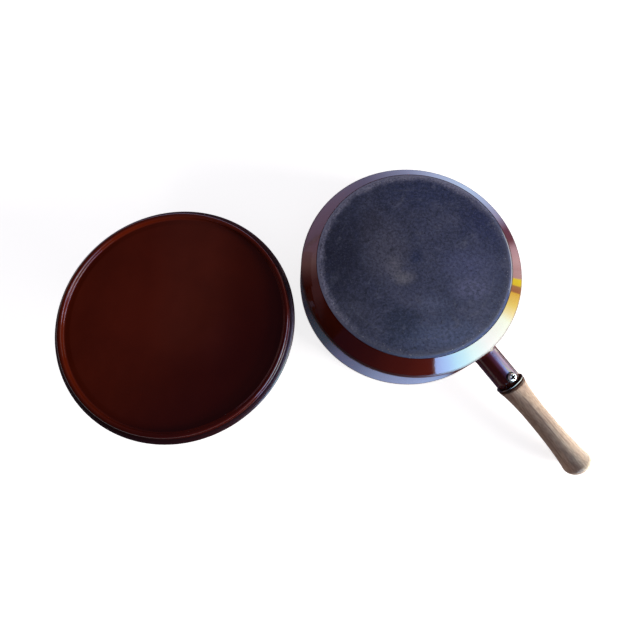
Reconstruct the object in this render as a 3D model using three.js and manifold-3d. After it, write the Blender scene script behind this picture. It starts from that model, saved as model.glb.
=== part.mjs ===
// Covered skillet in brown enamelled steel with a turned wooden handle.
// It lies as photographed: the pan face down on its rim, and the lid beside it, face up on its knob.
// Millimetres, +Z up. The origin is on the table, under the middle of the whole set.
import * as THREE from 'three';
import { mergeVertices } from 'three/addons/utils/BufferGeometryUtils.js';
import Module from 'manifold-3d';

const wasm = await Module();
wasm.setup();

// Pan
const rimRadius = 120;
const panHeight = 64;
const panSheet = 2;
const rimBand = 5;
const wallFlare = 3;
const chamferWidth = 15.6;
const chamferHeight = 14.4;
const shoulderRound = 2.6;
const ledgeWidth = 1.4;
const ledgeRound = 0.6;
const floorRound = 5;

// Base plate, let into the pan's floor
const basePlateThickness = 2.4;
const basePlateProud = 1.6;
const basePlateBevel = 3;
const basePlateBevelDrop = 0.8;

// Handle: a steel socket, a collar, a wooden grip and the screw that holds it
const handleBearing = -50.9;
const socketDrop = 13.7;
const socketRadius = 12.8;
const socketSheet = 1.6;
const socketReach = 36;
const socketFlare = 0.8;
const socketFlareLength = 2.4;
const socketFlareRound = 6;
const socketMouthRound = 0.6;
const collarRadius = 14.8;
const collarLength = 4.4;
const collarRound = 1.4;
const gripLength = 109;
const gripHeadRadius = 14.3;
const gripHeadBend = 14;
const gripWaistRadius = 11.1;
const gripWaistPlace = 42;
const gripBulbRadius = 14.3;
const gripBulbBend = 22;
const gripEndLength = 11;
const gripEndSwell = 1.3;
const gripEndShoulder = 5;
const gripEndFlat = 12;
const tenonLength = 26;
const tenonBevel = 1.5;
const screwSetback = 7;
const screwRadius = 2.4;
const screwLength = 16;
const screwPoint = 3;
const screwHeadRadius = 4.3;
const screwHeadHeight = 2.8;
const screwHeadRound = 1.8;
const recessLength = 5;
const recessWidth = 1.1;
const recessDepth = 1.5;
const screwWasherRadius = 5.3;
const screwWasherThickness = 0.8;
const spotFaceDepth = 0.7;

// Lid
const lidRadius = 122.1;
const lidSheet = 1.4;
const lidBeadWidth = 4.2;
const lidBeadHeight = 7.3;
const lidBeadRound = 1.9;
const lidBeadDraft = 0.6;
const lidLipDroop = 0.6;
const lidLipRound = 0.9;
const lidRecess = 4.5;
const lidRecessDraft = 0.8;
const lidRecessRound = 1.5;
const lidRingWidth = 6;
const lidDish = 7;
const lidLandRadius = 16;

// Knob: wood on a threaded insert, screwed to a stud that is welded to the lid
const knobHeight = 44.7;
const knobRadius = 19;
const knobFaceRadius = 13;
const knobWidestPlace = 10;
const knobWidestBend = 9;
const knobNeckRadius = 10.5;
const knobNeckPlace = 32;
const knobNeckBend = 10;
const knobHeadRadius = 14;
const knobHeadBend = 3;
const knobWasherRadius = 15;
const knobWasherThickness = 1.5;
const knobWasherBevel = 0.5;
const studRadius = 3;
const studEndGap = 1;
const studFlangeRadius = 6;
const studFlangeThickness = 1.2;
const insertRadius = 5.2;
const insertLength = 15;

// Where the lid stands, seen from the pan
const lidBearing = 193;
const lidGap = 9.3;

// Clearances
const seatGap = 0.3;
const threadGap = 0.15;
const lidClearance = 2;
const tableClearance = 1;

// Facets
const panFacets = 64;
const handleFacets = 32;
const smallFacets = 24;
const roundSteps = 3;
const curveSteps = 6;

// Sizes that follow
const shoulderRadius = rimRadius - wallFlare;
const ledgeRadius = shoulderRadius - chamferWidth;
const basePlateRadius = ledgeRadius - ledgeWidth;
const ledgeHeight = panHeight - basePlateProud;
const shoulderHeight = ledgeHeight - chamferHeight;
const pocketFloor = panHeight - basePlateThickness;
const pocketRadius = basePlateRadius + seatGap;
const mouthRadius = rimRadius - panSheet;

const socketHeight = shoulderHeight - socketDrop;
const socketBore = socketRadius - socketSheet;
const tenonRadius = socketBore - seatGap;
const collarStart = socketReach + seatGap;
const gripStart = collarStart + collarLength + seatGap;
const gripEnd = gripStart + gripLength;
const bulbPlace = gripEnd - gripEndLength;
const handleTilt = Math.asin((socketHeight - gripBulbRadius - tableClearance) / bulbPlace);
const screwPlace = socketReach - screwSetback;
const screwSeat = socketRadius - spotFaceDepth;
const screwHeadSeat = screwSeat + screwWasherThickness + 2 * seatGap;
const screwHole = screwRadius + seatGap;

const lidUnder = knobHeight + knobWasherThickness;
const studTip = knobHeight - insertLength + studEndGap;
const lidFloor = lidUnder + lidSheet;
const lidCrest = lidFloor + lidDish + lidRecess;
const lidLip = lidCrest - lidBeadHeight;
const lidBeadRadius = mouthRadius - lidClearance;
const lidRecessRadius = lidBeadRadius - lidBeadWidth;
const lidRecessFoot = lidRecessRadius - lidRecessDraft;
const lidRingRadius = lidRecessFoot - lidRingWidth;
const lidSpacing = rimRadius + lidRadius + lidGap;

// Materials
const enamel = new THREE.MeshStandardMaterial({ color: 0x4a140e, roughness: 0.12, metalness: 0 });
const blackEnamel = new THREE.MeshStandardMaterial({ color: 0x33363f, roughness: 0.55, metalness: 0 });
const beech = new THREE.MeshStandardMaterial({ color: 0xc9a987, roughness: 0.55, metalness: 0 });
const darkCollar = new THREE.MeshStandardMaterial({ color: 0x2a1409, roughness: 0.35, metalness: 0 });
const chrome = new THREE.MeshStandardMaterial({ color: 0xd8d8dc, roughness: 0.12, metalness: 1 });
const blackFibre = new THREE.MeshStandardMaterial({ color: 0x121214, roughness: 0.6, metalness: 0 });
const steel = new THREE.MeshStandardMaterial({ color: 0xa6a8ac, roughness: 0.35, metalness: 1 });
const brass = new THREE.MeshStandardMaterial({ color: 0xb08d4a, roughness: 0.35, metalness: 1 });

// An outline with rounded corners. A corner is [radius, height, round], and sharp without its round.
function rounded(corners) {
  const points = [];
  corners.forEach(([r, z, round = 0], i) => {
    const here = new THREE.Vector2(r, z);
    if (round === 0) {
      points.push(here);
      return;
    }
    const before = corners.at(i - 1);
    const after = corners.at((i + 1) % corners.length);
    const back = new THREE.Vector2(before[0], before[1]).sub(here).normalize();
    const ahead = new THREE.Vector2(after[0], after[1]).sub(here).normalize();
    const halfAngle = Math.acos(back.dot(ahead)) / 2;
    const middle = back.clone().add(ahead).normalize();
    const centre = here.clone().addScaledVector(middle, round / Math.sin(halfAngle));
    const start = here.clone().addScaledVector(back, round / Math.tan(halfAngle)).sub(centre);
    const turn = Math.sign(start.cross(middle.clone().negate())) * (Math.PI - 2 * halfAngle);
    for (let k = 0; k <= roundSteps; k++) {
      points.push(start.clone().rotateAround(new THREE.Vector2(), (turn * k) / roundSteps).add(centre));
    }
  });
  return points;
}

// The same outline, moved to the left of its direction by one distance.
function offset(points, distance) {
  return points.map((point, i) => {
    const before = points[Math.max(i - 1, 0)];
    const after = points[Math.min(i + 1, points.length - 1)];
    const into = point.clone().sub(before).normalize();
    const out = after.clone().sub(point).normalize();
    const along = into.clone().add(out).normalize();
    const across = new THREE.Vector2(-along.y, along.x);
    const stretch = i === 0 || i === points.length - 1 ? 1 : along.dot(out);
    return point.clone().addScaledVector(across, distance / stretch);
  });
}

// A sheet under one face, which is given from its edge to the axis. Its outline starts and ends there.
function sheetOutline(corners, thickness) {
  const face = rounded(corners);
  return [...offset(face, thickness).reverse(), ...face];
}

// A closed ring outline, whose last point is its first.
function ring(corners) {
  const points = rounded(corners);
  return [...points, points[0].clone()];
}

// Only whole triangles on shared corners, so that the body closes.
function closedBody(geometry) {
  geometry.deleteAttribute('normal');
  geometry.deleteAttribute('uv');
  const merged = mergeVertices(geometry);
  const old = merged.index.array;
  const kept = [];
  for (let i = 0; i < old.length; i += 3) {
    const [a, b, c] = [old[i], old[i + 1], old[i + 2]];
    if (a !== b && b !== c && c !== a) {
      kept.push(a, b, c);
    }
  }
  merged.setIndex(kept);
  merged.computeVertexNormals();
  return merged;
}

// A piece turned about its own Z axis.
function turned(outline, facets) {
  return closedBody(new THREE.LatheGeometry(outline, facets).rotateX(Math.PI / 2));
}

// A plain round bar on Z between two heights.
function bar(radius, low, high, facets = smallFacets) {
  return turned(rounded([[0, low], [radius, low], [radius, high], [0, high]]), facets);
}

function toManifold(geometry) {
  const vertProperties = new Float32Array(geometry.attributes.position.array);
  const triVerts = new Uint32Array(geometry.index.array);
  return new wasm.Manifold(new wasm.Mesh({ numProp: 3, vertProperties, triVerts }));
}

function cut(geometry, ...tools) {
  const solid = tools.reduce((rest, tool) => rest.subtract(toManifold(tool)), toManifold(geometry));
  const mesh = solid.getMesh();
  const result = new THREE.BufferGeometry();
  result.setAttribute('position', new THREE.BufferAttribute(new Float32Array(mesh.vertProperties), 3));
  result.setIndex(Array.from(mesh.triVerts));
  result.computeVertexNormals();
  return result;
}

function piece(name, geometry, material) {
  const mesh = new THREE.Mesh(geometry, material);
  mesh.name = name;
  return mesh;
}

// Pan, seen from outside: rim band, flared wall, chamfer, ledge, then the pocket for the base plate
function panFace(gap) {
  return [
    [rimRadius + gap, 0],
    [rimRadius + gap, rimBand],
    [shoulderRadius + gap, shoulderHeight, shoulderRound],
    [ledgeRadius + gap, ledgeHeight, ledgeRound],
  ];
}

// The inside lies one sheet under a plain face that runs to the pocket's floor.
function panBody() {
  const toFloor = (chamferWidth / chamferHeight) * (ledgeHeight - pocketFloor);
  const corner = [ledgeRadius + toFloor, pocketFloor, floorRound];
  const plain = [...panFace(0).slice(0, -1), corner, [0, pocketFloor]];
  const face = [...panFace(0), [pocketRadius, ledgeHeight], [pocketRadius, pocketFloor], [0, pocketFloor]];
  return turned([...offset(rounded(plain), panSheet).reverse(), ...rounded(face)], panFacets);
}

function basePlate() {
  const top = panHeight;
  const outline = rounded([
    [0, pocketFloor],
    [basePlateRadius, pocketFloor],
    [basePlateRadius, top - basePlateBevelDrop],
    [basePlateRadius - basePlateBevel, top],
    [0, top],
  ]);
  return turned(outline, panFacets);
}

// Handle frame: Z runs out along the handle, Y is the side that the screw is on
const bearing = THREE.MathUtils.degToRad(handleBearing);
const outward = new THREE.Vector3(Math.cos(bearing), Math.sin(bearing), 0);
const upward = new THREE.Vector3(0, 0, 1);
const handleAxis = outward.clone().multiplyScalar(Math.cos(handleTilt))
  .addScaledVector(upward, -Math.sin(handleTilt));
const screwAxis = outward.clone().multiplyScalar(Math.sin(handleTilt))
  .addScaledVector(upward, Math.cos(handleTilt));
const sideAxis = screwAxis.clone().cross(handleAxis);
const handleFrame = new THREE.Matrix4().makeBasis(sideAxis, screwAxis, handleAxis)
  .setPosition(outward.clone().multiplyScalar(rimRadius).addScaledVector(upward, socketHeight));

// A turned tool or piece on Z, laid along the screw's axis
function alongScrew(geometry) {
  return geometry.rotateX(-Math.PI / 2).translate(0, 0, screwPlace);
}

function handleSocket() {
  const root = basePlateRadius - rimRadius;
  const tube = turned(ring([
    [socketBore, root],
    [socketRadius + socketFlare, root],
    [socketRadius + socketFlare, -socketFlareLength],
    [socketRadius, socketFlareLength, socketFlareRound],
    [socketRadius, socketReach, socketMouthRound],
    [socketBore, socketReach],
  ]), handleFacets);
  const wall = turned(rounded([[0, 0], ...panFace(seatGap), [0, ledgeHeight]]), panFacets);
  wall.applyMatrix4(handleFrame.clone().invert());
  const hole = alongScrew(bar(screwHole, 0, socketRadius + socketSheet));
  const spotFace = alongScrew(bar(screwWasherRadius + seatGap, screwSeat, socketRadius + socketSheet));
  return cut(tube, wall, hole, spotFace);
}

function handleCollar() {
  return turned(ring([
    [socketBore, collarStart],
    [collarRadius, collarStart, collarRound],
    [collarRadius, collarStart + collarLength, collarRound],
    [socketBore, collarStart + collarLength],
  ]), handleFacets);
}

function handleGrip() {
  const tenonEnd = socketReach - tenonLength;
  const waist = gripStart + gripWaistPlace;
  const profile = new THREE.Path();
  profile.moveTo(0, tenonEnd);
  profile.lineTo(tenonRadius - tenonBevel, tenonEnd);
  profile.lineTo(tenonRadius, tenonEnd + tenonBevel);
  profile.lineTo(tenonRadius, gripStart);
  profile.lineTo(gripHeadRadius, gripStart);
  profile.quadraticCurveTo(gripWaistRadius, gripStart + gripHeadBend, gripWaistRadius, waist);
  profile.quadraticCurveTo(gripWaistRadius, bulbPlace - gripBulbBend, gripBulbRadius, bulbPlace);
  profile.bezierCurveTo(gripBulbRadius + gripEndSwell, bulbPlace + gripEndShoulder,
    gripEndFlat, gripEnd, 0, gripEnd);
  const hole = alongScrew(bar(screwHole, screwHeadSeat - screwLength - seatGap, socketRadius));
  return cut(turned(profile.getPoints(curveSteps), handleFacets), hole);
}

function handleScrew() {
  const tip = screwHeadSeat - screwLength;
  const top = screwHeadSeat + screwHeadHeight;
  const blank = alongScrew(turned(rounded([
    [0, tip],
    [screwRadius, tip + screwPoint],
    [screwRadius, screwHeadSeat],
    [screwHeadRadius, screwHeadSeat],
    [screwHeadRadius, top, screwHeadRound],
    [0, top],
  ]), smallFacets));
  const slot = new THREE.BoxGeometry(recessWidth, 2 * recessDepth, recessLength)
    .translate(0, top, screwPlace);
  const cross = new THREE.BoxGeometry(recessLength, 2 * recessDepth, recessWidth)
    .translate(0, top, screwPlace);
  return cut(blank, closedBody(slot), closedBody(cross));
}

function screwWasher() {
  const low = screwSeat + seatGap;
  return alongScrew(turned(ring([
    [screwHole, low],
    [screwWasherRadius, low],
    [screwWasherRadius, low + screwWasherThickness],
    [screwHole, low + screwWasherThickness],
  ]), smallFacets));
}

// Lid, seen from its inside: flat land, dished floor, flat ring, recess wall, locating bead and lip
function lidBody() {
  const floorEdge = lidFloor + lidDish;
  const beadFoot = lidBeadRadius + lidBeadDraft;
  const face = [
    [lidRadius, lidLip - lidLipDroop],
    [beadFoot, lidLip, lidLipRound],
    [lidBeadRadius, lidCrest, lidBeadRound],
    [lidRecessRadius, lidCrest, lidBeadRound],
    [lidRecessFoot, floorEdge, lidRecessRound],
    [lidRingRadius, floorEdge],
    [lidLandRadius, lidFloor],
    [0, lidFloor],
  ];
  return turned(sheetOutline(face, lidSheet), panFacets);
}

function knobStud() {
  const flange = lidUnder - studFlangeThickness;
  return turned(rounded([
    [0, studTip],
    [studRadius, studTip],
    [studRadius, flange],
    [studFlangeRadius, flange],
    [studFlangeRadius, lidUnder],
    [0, lidUnder],
  ]), smallFacets);
}

function knobWasher() {
  const hole = studFlangeRadius + seatGap;
  return turned(ring([
    [hole, knobHeight],
    [knobWasherRadius - knobWasherBevel, knobHeight],
    [knobWasherRadius, knobHeight + knobWasherBevel],
    [knobWasherRadius, lidUnder],
    [hole, lidUnder],
  ]), handleFacets);
}

function knobInsert() {
  const low = knobHeight - insertLength;
  const bore = studRadius + threadGap;
  return turned(ring([
    [bore, low],
    [insertRadius, low],
    [insertRadius, knobHeight],
    [bore, knobHeight],
  ]), smallFacets);
}

function lidKnob() {
  const profile = new THREE.Path();
  profile.moveTo(0, 0);
  profile.lineTo(knobFaceRadius, 0);
  profile.quadraticCurveTo(knobRadius, 0, knobRadius, knobWidestPlace);
  profile.bezierCurveTo(knobRadius, knobWidestPlace + knobWidestBend,
    knobNeckRadius, knobNeckPlace - knobNeckBend, knobNeckRadius, knobNeckPlace);
  profile.quadraticCurveTo(knobNeckRadius, knobHeight - knobHeadBend, knobHeadRadius, knobHeight);
  const hole = insertRadius + seatGap;
  const bottom = knobHeight - insertLength - seatGap;
  const outline = [
    ...profile.getPoints(curveSteps),
    ...rounded([[hole, knobHeight], [hole, bottom], [0, bottom]]),
  ];
  return turned(outline, handleFacets);
}

// Assembly
const handle = new THREE.Group();
handle.applyMatrix4(handleFrame);
handle.add(
  piece('handle_socket', handleSocket(), enamel),
  piece('handle_collar', handleCollar(), darkCollar),
  piece('handle_grip', handleGrip(), beech),
  piece('handle_screw', handleScrew(), chrome),
  piece('screw_washer', screwWasher(), blackFibre),
);

const pan = new THREE.Group();
pan.add(
  piece('pan_body', panBody(), enamel),
  piece('base_plate', basePlate(), blackEnamel),
  handle,
);

const lid = new THREE.Group();
lid.position.set(lidSpacing, 0, 0).applyAxisAngle(upward, THREE.MathUtils.degToRad(lidBearing));
lid.add(
  piece('lid_body', lidBody(), enamel),
  piece('knob_stud', knobStud(), steel),
  piece('knob_washer', knobWasher(), steel),
  piece('knob_insert', knobInsert(), brass),
  piece('lid_knob', lidKnob(), beech),
);

const skillet = new THREE.Group();
skillet.add(pan, lid);
skillet.updateMatrixWorld(true);
const extent = new THREE.Box3().setFromObject(skillet, true);
const middle = extent.getCenter(new THREE.Vector3());
skillet.position.set(-middle.x, -middle.y, -extent.min.z);

export default skillet;
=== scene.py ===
"""Looks for the enamelled skillet and its lid: fine surfaces, materials, studio and camera.

The object's sizes are in millimetres, as in the part's own source, and become metres in the meshes. Places in the
studio are in metres.
"""
import math

import bpy
import numpy as np
from mathutils import Matrix, Vector

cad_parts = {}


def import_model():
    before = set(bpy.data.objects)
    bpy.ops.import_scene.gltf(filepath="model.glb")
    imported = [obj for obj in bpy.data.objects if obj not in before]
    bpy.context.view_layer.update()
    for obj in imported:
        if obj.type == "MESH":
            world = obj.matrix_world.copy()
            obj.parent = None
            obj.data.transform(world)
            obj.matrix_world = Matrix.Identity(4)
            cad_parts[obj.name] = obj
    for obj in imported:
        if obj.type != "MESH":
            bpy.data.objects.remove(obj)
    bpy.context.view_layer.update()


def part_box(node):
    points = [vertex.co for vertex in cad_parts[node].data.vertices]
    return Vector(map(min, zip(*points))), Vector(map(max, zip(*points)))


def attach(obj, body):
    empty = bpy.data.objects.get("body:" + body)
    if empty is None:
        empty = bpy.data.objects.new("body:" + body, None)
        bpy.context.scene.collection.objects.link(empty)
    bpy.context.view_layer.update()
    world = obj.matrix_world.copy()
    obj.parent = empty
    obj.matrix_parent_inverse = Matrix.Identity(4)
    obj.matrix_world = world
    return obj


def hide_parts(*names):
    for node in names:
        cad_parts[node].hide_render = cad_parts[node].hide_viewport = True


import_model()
MM = 0.001

# Facets round a turned piece
FINE, MEDIUM, COARSE = 256, 96, 48
ON_AXIS = 1e-6

# Pan
RIM_RADIUS = 120.0
RIM_ROUND = 0.9
RIM_BAND = 5.0
RIM_BAND_ROUND = 6.0
PAN_HEIGHT = 64.0
PAN_SHEET = 2.0
SHOULDER_RADIUS = 117.0
SHOULDER_HEIGHT = 48.0
SHOULDER_ROUND = 2.6
INNER_SHOULDER_SHIFT = 0.02
INNER_SHOULDER_DROP = 0.86
INNER_SHOULDER_ROUND = 4.0
INNER_FLOOR_OVERLAP = 1.2
INNER_FLOOR_ROUND = 3.0
POCKET_RADIUS = 100.3
POCKET_FLOOR = 61.6
POCKET_ROUND = 0.2
LIP_RADIUS = 100.5
LIP_HEIGHT = 63.2
LIP_ROUND = 0.2
BASE_RADIUS = 100.0
BASE_FOOT_ROUND = 0.2
BASE_EDGE_ROUND = 0.45
BASE_BEVEL = 3.0
BASE_BEVEL_DROP = 0.8
BASE_BEVEL_ROUND = 8.0

# Handle, along its own axis from the rim's radius
HANDLE_BEARING = math.radians(-50.9)
SOCKET_HEIGHT = 34.3
BULB_RADIUS = 14.3
BULB_PLACE = 139.0
TABLE_CLEARANCE = 1.0
HANDLE_TILT = math.asin((SOCKET_HEIGHT - BULB_RADIUS - TABLE_CLEARANCE) / BULB_PLACE)
SOCKET_RADIUS = 12.8
SOCKET_BORE = 11.2
SOCKET_REACH = 36.0
SOCKET_MOUTH_ROUND = 1.2
SOCKET_BORE_ROUND = 0.3
WELD_LENGTH = 3.4
WELD_SPREAD = 0.7
WELD_DEPTH = 0.35
COLLAR_RADIUS = 14.8
COLLAR_START = 36.3
COLLAR_FRONT_ROUND = 0.4
COLLAR_BEAD_END = 37.7
COLLAR_BEAD_ROUND = 0.95
COLLAR_SEAM = 0.05
COLLAR_END = 40.7
GRIP_START = 41.0
GRIP_END = 150.0
GRIP_HEAD_RADIUS = 14.3
GRIP_HEAD_EDGE = 0.4
GRIP_WAIST_RADIUS = 11.1
GRIP_WAIST_PLACE = 83.0
GRIP_SHARE = 0.985
TENON_TIP = 12.0
TENON_TIP_RADIUS = 9.4
TENON_RADIUS = 10.9
TENON_CHAMFER = 1.5

# Screw and washer, from the handle's axis
SCREW_PLACE = 29.0
SCREW_SEAT = 13.5
SCREW_HEAD_RADIUS = 4.3
SCREW_HEAD_HEIGHT = 2.8
SCREW_HEAD_SIDE = 0.6
SCREW_HEAD_POWER = 2.6
SCREW_UNDERCUT = 0.3
SHANK_RADIUS = 2.4
SHANK_END = 0.5
SCREW_TIP = -2.5
SCREW_TIP_RADIUS = 0.1
CROSS_REACH = 2.7
CROSS_HALF_WIDTH = 0.85
CROSS_SLOPE = 0.24
CROSS_DEPTH = 1.9
CROSS_SHADE_RADIUS = 3.0
CROSS_SHADE_DROP = 0.42
WASHER_BORE = 2.7
WASHER_RADIUS = 5.3
WASHER_CREST_RADIUS = 4.5
WASHER_FOOT = 11.4
WASHER_TOP = 13.2
WASHER_CREST = 13.45

# Lid
LID_RADIUS = 122.1
LID_SHEET = 1.4
LID_LIP = 51.8
LID_LIP_DROP = 0.6
LID_LIP_CUT = 0.25
LID_CREST = 59.1
BEAD_RADIUS = 116.0
BEAD_FLARE = 0.6
BEAD_FOOT_ROUND = 0.9
BEAD_ROUND = 1.9
LIP_SHADE_FROM = BEAD_RADIUS + 1.0
RECESS_RADIUS = 111.8
RECESS_FOOT = 111.0
RECESS_ROUND = 1.5
RING_RADIUS = 105.0
RING_ROUND = 16.0
FLOOR_EDGE = 54.6
FLOOR_CENTRE = 47.6
LAND_RADIUS = 16.0
LAND_ROUND = 300.0
LID_UNDER = 46.2

# Knob
KNOB_HEIGHT = 44.7
KNOB_SIDE = (
    (13, 0.0), (17.2, 1.6), (19, 9.5), (18.2, 14.5), (15.2, 20.5), (12, 26.5), (10.5, 32), (10.8, 37.5), (12.2, 42),
    (14, KNOB_HEIGHT - 0.3))
KNOB_TOP_RADIUS = 13.6
KNOB_HOLE = 5.5
KNOB_HOLE_ROOM = 0.3
PLATE_BORE = 6.3
PLATE_RADIUS = 15.0
STUD_RADIUS = 3.0
STUD_TIP_ROOM = 1.0
STUD_FLANGE = 1.2
STUD_FLANGE_RADIUS = 6.0
INSERT_LENGTH = 15.0
INSERT_BORE = 3.15
INSERT_CORE = 4.7
INSERT_RADIUS = 5.2
INSERT_TURNS = 9
INSERT_END = 0.8


# Meshes

def rounded(corners, steps=10):
    """An outline whose corners are rounded. A corner is (radius, height, round), sharp without its round."""
    points = []
    count = len(corners)
    for i, corner in enumerate(corners):
        here = np.array(corner[:2], float)
        size = corner[2] if len(corner) > 2 else 0
        if size == 0:
            points.append(here)
            continue
        back = np.array(corners[i - 1][:2], float) - here
        ahead = np.array(corners[(i + 1) % count][:2], float) - here
        back /= np.linalg.norm(back)
        ahead /= np.linalg.norm(ahead)
        half = math.acos(np.clip(back @ ahead, -1, 1)) / 2
        middle = (back + ahead) / np.linalg.norm(back + ahead)
        centre = here + middle * size / math.sin(half)
        start = here + back * size / math.tan(half) - centre
        side = np.sign(start[0] * -middle[1] - start[1] * -middle[0])
        for k in range(steps + 1):
            a = side * (math.pi - 2 * half) * k / steps
            c, s = math.cos(a), math.sin(a)
            points.append(centre + np.array([c * start[0] - s * start[1], s * start[0] + c * start[1]]))
    return points


def refined(points, longest=6.0, near=0.25):
    """The same outline with points close to the ends of its long straight runs, and along them."""
    out = [points[0]]
    for a, b in zip(points, points[1:]):
        length = np.linalg.norm(b - a)
        if length > 4 * near:
            inner = max(1, round((length - 2 * near) / longest))
            places = [near / length, *(np.linspace(near, length - near, inner + 1)[1:-1] / length), 1 - near / length]
            out += [a + (b - a) * t for t in places]
        out.append(b)
    return out


def closed(corners, steps=10, longest=6.0):
    """A rounded and refined outline that comes back to its first point."""
    points = rounded(corners, steps)
    return refined([*points, points[0]], longest)


def smooth_path(knots, count):
    """Points on a smooth curve through (radius, place) knots, by cubic Hermite steps."""
    knots = np.array(knots, float)
    s = np.concatenate([[0], np.cumsum(np.linalg.norm(np.diff(knots, axis=0), axis=1))])
    slopes = np.gradient(knots, s, axis=0)
    out = []
    for t in np.linspace(0, s[-1], count):
        i = min(np.searchsorted(s, t, side="right") - 1, len(s) - 2)
        h = s[i + 1] - s[i]
        u = (t - s[i]) / h
        out.append((2 * u**3 - 3 * u**2 + 1) * knots[i] + (u**3 - 2 * u**2 + u) * h * slopes[i]
                   + (3 * u**2 - 2 * u**3) * knots[i + 1] + (u**3 - u**2) * h * slopes[i + 1])
    return out


def bezier(points, count):
    """Points on a Bezier curve, without its first."""
    out = []
    for t in np.linspace(0, 1, count + 1)[1:]:
        level = [np.array(p, float) for p in points]
        while len(level) > 1:
            level = [a + (b - a) * t for a, b in zip(level, level[1:])]
        out.append(level[0])
    return out


def mesh_object(name, vertices, faces):
    data = bpy.data.meshes.new(name)
    data.from_pydata([tuple(v) for v in vertices], [], faces)
    data.validate()
    data.update()
    data.shade_smooth()
    obj = bpy.data.objects.new(name, data)
    bpy.context.scene.collection.objects.link(obj)
    return obj


def revolve(name, outline, segments):
    """A body turned about Z. The outline runs from axis to axis, or is a closed ring, counter-clockwise."""
    outline = [np.array(p, float) for p in outline]
    ring = outline[0][0] > ON_AXIS
    vertices, rows = [], []
    angles = np.arange(segments) * 2 * math.pi / segments
    for r, z in outline[:-1] if ring else outline:
        if r < ON_AXIS:
            rows.append([len(vertices)])
            vertices.append((0, 0, z * MM))
        else:
            rows.append(list(range(len(vertices), len(vertices) + segments)))
            vertices += [(r * math.cos(a) * MM, r * math.sin(a) * MM, z * MM) for a in angles]
    if ring:
        rows.append(rows[0])
    faces = []
    for low, high in zip(rows, rows[1:]):
        for k in range(segments):
            n = (k + 1) % segments
            face = [low[k % len(low)], low[n % len(low)], high[n % len(high)], high[k % len(high)]]
            faces.append(list(dict.fromkeys(face)))
    return mesh_object(name, vertices, [f for f in faces if len(f) > 2])


# Materials

class Shader:
    """A material's nodes, written one call each."""

    def __init__(self, name, axes=None):
        self.axes = axes
        self.material = bpy.data.materials.new(name)
        self.material.use_nodes = True
        self.tree = self.material.node_tree
        self.surface = self.tree.nodes["Principled BSDF"]

    def node(self, kind, sets=None, out=0, **inputs):
        """A new node's output. Inputs go by their names, or by their numbers as i0, i1 and so on."""
        made = self.tree.nodes.new("ShaderNode" + kind)
        for key, value in (sets or {}).items():
            setattr(made, key, value)
        for key, value in inputs.items():
            self.put(made, int(key[1:]) if key[0] == "i" and key[1:].isdigit() else key, value)
        return made.outputs[out]

    def put(self, node, key, value):
        socket = node.inputs[key]
        if isinstance(value, bpy.types.NodeSocket):
            self.tree.links.new(value, socket)
        else:
            socket.default_value = value

    def set(self, **inputs):
        """Inputs of the surface, with _ for the blanks in their names."""
        for key, value in inputs.items():
            self.put(self.surface, key.replace("_", " "), value)

    def show(self, shader):
        """This shader in place of the surface."""
        self.tree.links.new(shader, self.tree.nodes["Material Output"].inputs[0])

    def math(self, operation, a, b=0.0, c=0.0):
        return self.node("Math", {"operation": operation}, i0=a, i1=b, i2=c)

    def times(self, a, b):
        return self.math("MULTIPLY", a, b)

    def off(self, value, middle):
        """How far a value is from a middle."""
        return self.math("ABSOLUTE", self.math("SUBTRACT", value, middle))

    def local(self):
        """Coordinates in metres along the piece's own axes."""
        coords = self.node("TexCoord", out=3)
        if self.axes is None:
            return coords
        return self.node("Mapping", {"vector_type": "TEXTURE"}, Vector=coords, Location=self.axes.translation,
                         Rotation=self.axes.to_euler())

    def place(self, scale=(1, 1, 1), offset=(0, 0, 0)):
        """Those coordinates, stretched."""
        return self.node("Mapping", Vector=self.local(), Scale=scale, Location=offset)

    def split(self, vector):
        """A vector's X, Y and Z."""
        made = self.tree.nodes.new("ShaderNodeSeparateXYZ")
        self.put(made, 0, vector)
        return tuple(made.outputs)

    def length(self, vector):
        return self.node("VectorMath", {"operation": "LENGTH"}, out=1, i0=vector)

    def radius(self):
        """Distance from the piece's Z axis, in metres."""
        return self.length(self.place((1, 1, 0)))

    def noise(self, vector, scale, detail=2.0, rough=0.5, distort=0.0):
        return self.node("TexNoise", Vector=vector, Scale=scale, Detail=detail, Roughness=rough, Distortion=distort)

    def ramp(self, value, low, high, to_low=0.0, to_high=1.0):
        """A soft step from to_low to to_high while the value goes from low to high."""
        return self.node("MapRange", {"interpolation_type": "SMOOTHSTEP"}, Value=value,
                         **{"From Min": low, "From Max": high, "To Min": to_low, "To Max": to_high})

    def ramp_line(self, value, low, high):
        return self.node("MapRange", Value=value, **{"From Min": low, "From Max": high})

    def mix(self, factor, a, b, mode="MIX"):
        made = self.tree.nodes.new("ShaderNodeMix")
        made.data_type = "RGBA"
        made.blend_type = mode
        self.put(made, 0, factor)
        for index, value in ((6, a), (7, b)):
            self.put(made, index, value if isinstance(value, bpy.types.NodeSocket) else (*value, 1))
        return made.outputs[2]

    def tinted(self, colour, by):
        return self.mix(1.0, colour, by, "MULTIPLY")

    def bump(self, height, distance, strength=1.0, below=None):
        extra = {"Normal": below} if below else {}
        return self.node("Bump", Height=height, Distance=distance, Strength=strength, **extra)


ENAMEL_DEEP = (0.061, 0.007, 0.0024)
ENAMEL_LIGHT = (0.076, 0.0091, 0.0032)
ENAMEL_SPECK = (0.106, 0.044, 0.031)
ENAMEL_BEND_SHADE = (0.025, 0.0037, 0.0031)
ENAMEL_LIP_SHADE = (0.0087, 0.0019, 0.0019)
LID_VIOLET_SHADE = (0.020, 0.0005, 0.0041)
LID_PLAIN_TINT = (1.0, 0.80, 0.45)
LID_SHEEN_TINT = (1.30, 1.45, 1.70)


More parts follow.
